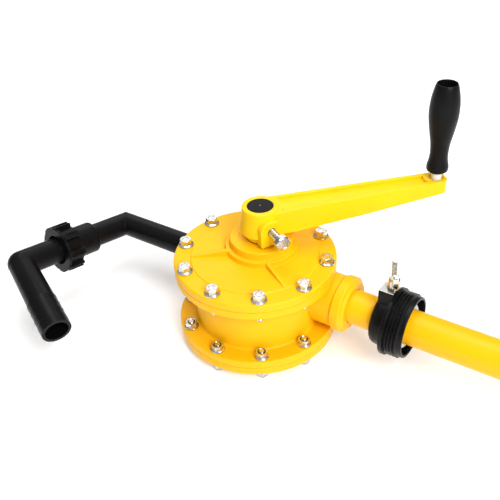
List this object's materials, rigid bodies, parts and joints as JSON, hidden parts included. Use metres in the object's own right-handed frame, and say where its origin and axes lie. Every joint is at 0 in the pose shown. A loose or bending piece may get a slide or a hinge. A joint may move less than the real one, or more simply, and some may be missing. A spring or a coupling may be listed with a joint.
{
  "type": "drum barrel pump",
  "caption": "Hand-cranked rotary vane drum pump: yellow flanged round casing, cranked arm with black grip, black drum bung on a long suction tube, and a swivelling angled outlet spout.",
  "frame": {"origin": "centre of the bung's shoulder face, on the suction tube's axis", "axes": "+X along the suction tube, away from the pump and into the drum; +Z parallel to the crank's shaft, out of the top cover; +Y completes the right-handed set"},
  "size_m": [1.2263, 0.3035, 0.2243],
  "materials": {
    "yellow_plastic": "golden yellow moulded plastic, semi-gloss",
    "crank_yellow_plastic": "lighter yellow moulded plastic, semi-gloss",
    "black_plastic": "black moulded plastic, soft sheen",
    "zinc_plated_steel": "bright zinc plate",
    "turned_steel": "turned steel",
    "nitrile_rubber": "black seal rubber",
    "grey_seal_plastic": "light grey moulded seal",
    "rotor_plastic": "off-white engineering plastic",
    "vane_plastic": "dark grey filled plastic"
  },
  "bodies": {
    "bung": {"bung_adapter": "black_plastic"},
    "tube_gland": {"tube_seal": "grey_seal_plastic"},
    "pump_body": {"pump_casing": "yellow_plastic", "top_cover": "yellow_plastic", "bottom_cover": "yellow_plastic", "top_cover_ring": "nitrile_rubber", "bottom_cover_ring": "nitrile_rubber", "cover_bolt_01": "zinc_plated_steel", "cover_bolt_02": "zinc_plated_steel", "cover_bolt_03": "zinc_plated_steel", "cover_bolt_04": "zinc_plated_steel", "cover_bolt_05": "zinc_plated_steel", "cover_bolt_06": "zinc_plated_steel", "cover_bolt_07": "zinc_plated_steel", "cover_bolt_08": "zinc_plated_steel", "cover_bolt_09": "zinc_plated_steel", "cover_bolt_10": "zinc_plated_steel", "base_bolt_01": "zinc_plated_steel", "base_bolt_02": "zinc_plated_steel", "base_bolt_03": "zinc_plated_steel", "base_bolt_04": "zinc_plated_steel", "base_bolt_05": "zinc_plated_steel", "base_bolt_06": "zinc_plated_steel", "base_bolt_07": "zinc_plated_steel", "base_bolt_08": "zinc_plated_steel", "base_bolt_09": "zinc_plated_steel", "base_bolt_10": "zinc_plated_steel", "base_nut_01": "zinc_plated_steel", "base_nut_02": "zinc_plated_steel", "base_nut_04": "zinc_plated_steel", "base_nut_05": "zinc_plated_steel", "base_nut_06": "zinc_plated_steel", "base_nut_07": "zinc_plated_steel", "base_nut_08": "zinc_plated_steel", "base_nut_10": "zinc_plated_steel", "shaft_seal": "nitrile_rubber", "suction_collar": "yellow_plastic", "suction_tube_upper": "yellow_plastic", "suction_tube_middle": "yellow_plastic", "suction_tube_lower": "yellow_plastic", "foot_strainer": "black_plastic", "outlet_pipe": "black_plastic", "union_seal": "nitrile_rubber"},
    "crank": {"rotor": "rotor_plastic", "rotor_shaft": "turned_steel", "vane_1": "vane_plastic", "vane_2": "vane_plastic", "vane_3": "vane_plastic", "vane_4": "vane_plastic", "crank_arm": "crank_yellow_plastic", "crank_cap": "black_plastic", "crank_clamp_bolt": "zinc_plated_steel", "grip_spindle": "zinc_plated_steel"},
    "grip": {"hand_grip": "black_plastic"},
    "spout_body": {"spout": "black_plastic"},
    "union": {"union_nut": "black_plastic"},
    "wing": {"wing_bolt": "zinc_plated_steel"}
  },
  "joints": [
    {"name": "pump_turn", "type": "hinge", "parent": "bung", "child": "tube_gland", "pos_m": [0, 0, 0], "axis": [1, 0, 0], "continuous": true},
    {"name": "tube_slide", "type": "slide", "parent": "tube_gland", "child": "pump_body", "axis": [1, 0, 0], "range_m": [-0.215, 0.0225]},
    {"name": "crank_spin", "type": "hinge", "parent": "pump_body", "child": "crank", "pos_m": [-0.1335, -0.0082, 0.03], "axis": [0, 0, 1], "continuous": true},
    {"name": "grip_spin", "type": "hinge", "parent": "crank", "child": "grip", "pos_m": [-0.01765, 0.11539, 0.13], "axis": [0, 0, 1], "continuous": true},
    {"name": "spout_swivel", "type": "hinge", "parent": "pump_body", "child": "spout_body", "pos_m": [-0.32916, -0.07806, 0.01166], "axis": [-0.1633, -0.9757, 0.1458], "continuous": true},
    {"name": "union_nut_turn", "type": "hinge", "parent": "pump_body", "child": "union", "pos_m": [-0.32916, -0.07806, 0.01166], "axis": [-0.1633, -0.9757, 0.1458], "continuous": true},
    {"name": "wing_bolt_turn", "type": "hinge", "parent": "bung", "child": "wing", "pos_m": [-0.005, 0, 0.04], "axis": [0, 0, 1], "range_deg": [0, 720]}
  ]
}
